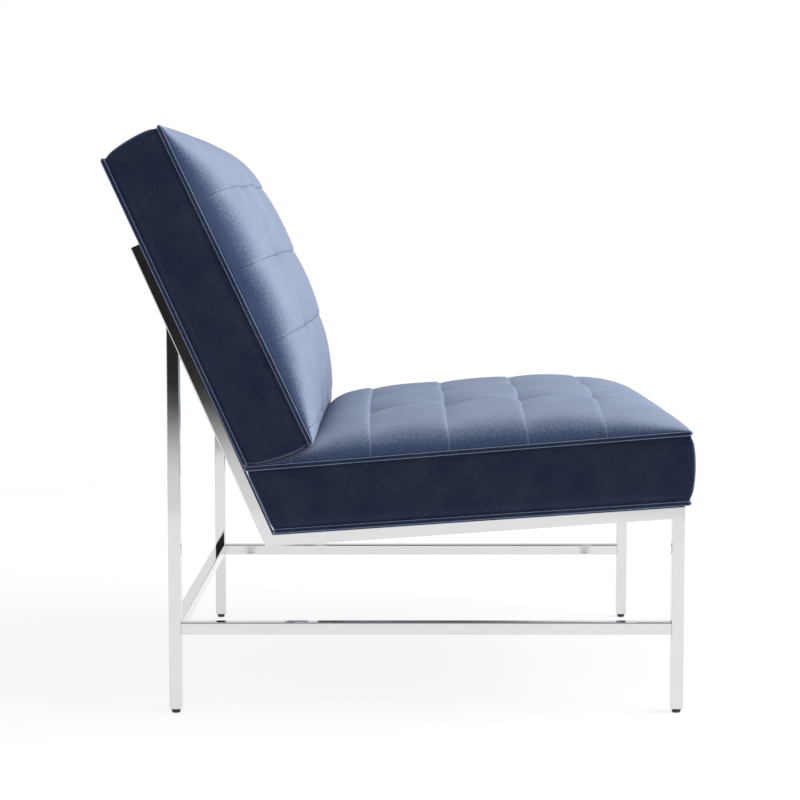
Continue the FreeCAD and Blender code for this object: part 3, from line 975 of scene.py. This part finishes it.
@dataclass
class Seat(Upholstery):
    """The seat cushion: cover, piping, foam and dust cover."""

    reach: float = 589.7 * MM
    rake: float = 7.5 * MM
    front_top: float = 119.5 * MM
    rear_top: float = 112.3 * MM
    # the dust cover, drawn into shallow scallops between its staples
    cloth: float = 0.8 * MM
    cloth_gap: float = 0.3 * MM
    cloth_lines: tuple[int, int] = (80, 64)
    scallops: int = 12
    scallop_depth: float = 0.25 * MM
    scallop_reach: float = 0.2

    def cushion(self) -> Cushion:
        """Works out the seat's sewn form.

        Returns:
            The form.
        """
        seat, back = self.rails.seat(), self.rails.back()
        rear = back.point(0, self.level), back.point(1, self.level)
        low = meet(seat.point(0, self.level), seat.point(1, self.level), *rear)
        high_top = seat.point(self.reach + self.rake, self.front_top)
        low_top = meet(seat.point(0, self.rear_top), high_top, *rear)
        crown = Crown(62.5 * MM, side=4.0, high=(3.6, 0.72), low=(5.0, 0.66))
        # the seat's row seams get a painted highlight, its column seams a painted shade
        quilting = Quilting(first=116.5 * MM, pitch=109 * MM, rows=6, tuft=11 * MM,
                            row_light=0.35, laps_low=True)
        return Cushion("seat", (low, seat.point(self.reach, self.level), high_top, low_top),
                       seat.out, crown, quilting)

    def build(self, back: Cushion) -> None:
        """Builds the seat's pieces.

        Args:
            back: the back cushion, which presses into the seat.
        """
        form = self.cushion()
        sewn = back.shell()
        presser = BVHTree.FromBMesh(sewn)
        sewn.free()
        self.upholster(form, presser)
        self.dust_cover()
        finish_piece("seat_top_welt", form.piping(True), Finishes.CORD, ["seat_top_piping"])
        finish_piece("seat_bottom_welt", form.piping(False), Finishes.CORD, ["seat_bottom_piping"])

    def dust_cover(self) -> None:
        """Builds the black cloth stapled tight under the seat."""
        low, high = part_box("seat_dust_cover")
        seat = self.rails.seat()
        near, far = self.rails.corner[0] - high.y, self.rails.corner[0] - low.y
        bm = bmesh.new()
        across, along = self.cloth_lines
        bmesh.ops.create_grid(bm, x_segments=across, y_segments=along, size=0.5)
        for v in bm.verts:
            side = 2 * max(abs(v.co.x), abs(v.co.y))
            pucker = max(0.0, side - (1 - self.scallop_reach)) / self.scallop_reach
            run = v.co.x if abs(v.co.y) > abs(v.co.x) else v.co.y
            wave = self.scallop_depth * pucker * math.cos(2 * math.pi * self.scallops * run)
            p = near + (far - near) * (v.co.y + 0.5)
            y, z = seat.point(p, self.level - self.cloth - self.cloth_gap + wave)
            v.co = ((high.x - low.x) * v.co.x, y, z)
        bmesh.ops.recalc_face_normals(bm, faces=bm.faces[:])
        bmesh.ops.solidify(bm, geom=bm.faces[:], thickness=self.cloth)
        bmesh.ops.recalc_face_normals(bm, faces=bm.faces[:])
        sheet = finish_piece("seat_dust_cover_cloth", bm, Finishes.FELT, ["seat_dust_cover"])


@dataclass
class Back(Upholstery):
    """The back cushion: cover, piping and foam."""

    foot: float = 114.2 * MM
    lean: float = 0.67
    height: float = 461 * MM
    thickness: float = 92.6 * MM
    foot_drop: float = 11 * MM
    foot_thickness: float = 98.9 * MM
    top_rise: float = 9.5 * MM
    bulge: float = 4.5 * MM

    def cushion(self) -> Cushion:
        """Works out the back's sewn form.

        Returns:
            The form.
        """
        t = math.radians(self.rails.recline + self.lean)
        plane = SidePlane(self.rails.back().point(self.foot, self.level),
                          (math.sin(t), math.cos(t)), (-math.cos(t), math.sin(t)))
        outline = (plane.point(0, 0), plane.point(self.height, 0),
                   plane.point(self.height + self.top_rise, self.thickness),
                   plane.point(-self.foot_drop, self.foot_thickness))
        crown = Crown(69.8 * MM, side=4.2, high=(4.4, 0.95), low=(2.5, 0.8), peak=0.45)
        # the back's row and column seams both get a painted shade
        quilting = Quilting(first=112 * MM, pitch=110 * MM, rows=5, tuft=13.5 * MM, row_light=-0.6,
                            laps_low=False, column_light=-0.55, last_shift=17 * MM)
        return Cushion("back", outline, plane.out, crown, quilting, high_bulge=self.bulge,
                       low_bulge=self.bulge)

    def build(self) -> None:
        """Builds the back's pieces."""
        form = self.cushion()
        self.upholster(form)
        finish_piece("back_front_welt", form.piping(True), Finishes.CORD, ["back_front_piping"])
        finish_piece("back_rear_welt", form.piping(False), Finishes.CORD, ["back_rear_piping"])


# ---------------------------------------------------------------- frame


@dataclass(frozen=True)
class Ironwork:
    """The nodes whose CAD shape is right: tubes, caps, feet, boards and fixings."""

    finishes: tuple[tuple[Finishes, tuple[str, ...]], ...] = (
        (Finishes.NYLON, ("foot", "leg_plug")),
        (Finishes.BIRCH, ("board",)),
        (Finishes.ZINC, ("tabs", "screws")),
        (Finishes.TUBE, ("leg", "rail", "stretcher", "cap")),
    )

    def dress(self) -> None:
        """Gives each of them its finish."""
        for name, node in sorted(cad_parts.items()):
            for finish, endings in self.finishes:
                if name.endswith(endings):
                    node.data.materials.clear()
                    node.data.materials.append(finish.material())
                    log.info("%s: %s", name, finish.value.name)
                    break


# ---------------------------------------------------------------- studio


@dataclass(frozen=True)
class Studio:
    """A pale floor, a soft white surround and a camera at the chair's right side."""

    lens: float = 88.82
    sensor: float = 36.0
    pitch: float = 4.731
    place: tuple[float, float, float] = (-3.0581, -0.0013, 0.6613)
    sight: float = 100.0
    floor_radius: float = 2.4
    floor_sides: int = 96
    floor_shade: str = "8C8C8C"
    floor_glow: float = 0.8
    white: str = "FFFFFF"
    # how the surround's brightness changes with height, behind the camera and elsewhere
    ground: Fade = Fade(-0.122, -0.078, 0.85, 0.02)
    sky: Fade = Fade(0.25, 0.6, 0.0, 0.9)
    overhead: Fade = Fade(0.45, 0.85, 0.85, 0.35)
    # where the part behind the camera gives way to the rest
    behind: Fade = Fade(-0.75, -0.3)
    softbox: float = 3.0
    softbox_power: float = 90.0
    softbox_place: tuple[float, float, float] = (-0.6, -3.2, 2.6)
    softbox_aim: tuple[float, float, float] = (0.0, 0.0, 0.4)

    def build(self) -> None:
        """Builds the floor, the light and the camera."""
        self.camera()
        self.floor()
        self.surround()
        self.lights()
        bpy.context.scene.view_settings.view_transform = "Standard"

    def camera(self) -> None:
        """Adds the camera at the photograph's place."""
        data = bpy.data.cameras.new("camera")
        data.lens = self.lens
        data.sensor_width = self.sensor
        data.clip_end = self.sight
        camera = bpy.data.objects.new("camera", data)
        camera.location = self.place
        camera.rotation_euler = (math.radians(90 - self.pitch), 0.0, math.radians(-90))
        bpy.context.scene.collection.objects.link(camera)
        bpy.context.scene.camera = camera

    def floor(self) -> None:
        """Adds the plain pale floor."""
        bm = bmesh.new()
        bmesh.ops.create_circle(bm, cap_ends=True, segments=self.floor_sides,
                                radius=self.floor_radius)
        mesh = bpy.data.meshes.new("floor")
        bm.to_mesh(mesh)
        bm.free()
        floor = bpy.data.objects.new("floor", mesh)
        bpy.context.scene.collection.objects.link(floor)
        # matt white paper: an even ground, which glows a little so that it meets the surround
        made = bpy.data.materials.new("white_paper_floor")
        made.use_nodes = True
        skin = made.node_tree.nodes["Principled BSDF"]
        skin.inputs["Base Color"].default_value = srgb(self.floor_shade)
        skin.inputs["Roughness"].default_value = 0.9
        skin.inputs["Specular IOR Level"].default_value = 0.1
        skin.inputs["Emission Color"].default_value = srgb(self.white)
        skin.inputs["Emission Strength"].default_value = self.floor_glow
        mesh.materials.append(made)

    def surround(self) -> None:
        """Sets the white surround, with a dark band behind the camera that the tube mirrors."""
        world = bpy.data.worlds.new("studio")
        bpy.context.scene.world = world
        world.use_nodes = True
        tree = world.node_tree
        tree.nodes.clear()
        way = add_node(tree, "ShaderNodeTexCoord").outputs["Generated"]
        part = add_node(tree, "ShaderNodeSeparateXYZ", {0: way})
        # behind the camera it is bright below, dark at eye level and bright again higher up
        ground, sky, overhead = (add_node(
            tree, "ShaderNodeMapRange", fade.inputs(part.outputs["Z"]),
            interpolation_type="SMOOTHSTEP") for fade in (self.ground, self.sky, self.overhead))
        band = add_node(tree, "ShaderNodeMath", {0: ground.outputs[0], 1: sky.outputs[0]},
                        operation="ADD")
        # elsewhere it is bright, and duller overhead
        behind = add_node(tree, "ShaderNodeMapRange", self.behind.inputs(part.outputs["X"]),
                          interpolation_type="SMOOTHSTEP")
        mirrored = add_node(tree, "ShaderNodeMix", {
            "Factor": behind.outputs[0], 2: band.outputs[0], 3: overhead.outputs[0]})
        # the camera itself sees plain white
        rays = add_node(tree, "ShaderNodeLightPath")
        value = add_node(tree, "ShaderNodeMix", {
            "Factor": rays.outputs["Is Camera Ray"], 2: mirrored.outputs[0], 3: 1.0})
        glow = add_node(tree, "ShaderNodeBackground", {
            "Color": srgb(self.white), "Strength": value.outputs[0]})
        out = tree.nodes.new("ShaderNodeOutputWorld")
        tree.links.new(glow.outputs[0], out.inputs[0])

    def lights(self) -> None:
        """Adds the soft overhead light."""
        data = bpy.data.lights.new("softbox", "AREA")
        data.shape = "RECTANGLE"
        data.size = data.size_y = self.softbox
        data.energy = self.softbox_power
        light = bpy.data.objects.new("softbox", data)
        light.location = self.softbox_place
        aim = Vector(self.softbox_aim) - light.location
        light.rotation_euler = aim.to_track_quat("-Z", "Y").to_euler()
        bpy.context.scene.collection.objects.link(light)


def main() -> None:
    """Builds the chair's pieces in order, then the studio."""
    logging.basicConfig(level=logging.INFO, format="%(name)s: %(message)s")
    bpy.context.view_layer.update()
    rails = Rails()
    Ironwork().dress()
    back = Back(rails)
    Seat(rails).build(back.cushion())
    back.build()
    Studio().build()


if __name__ == "__main__":
    main()
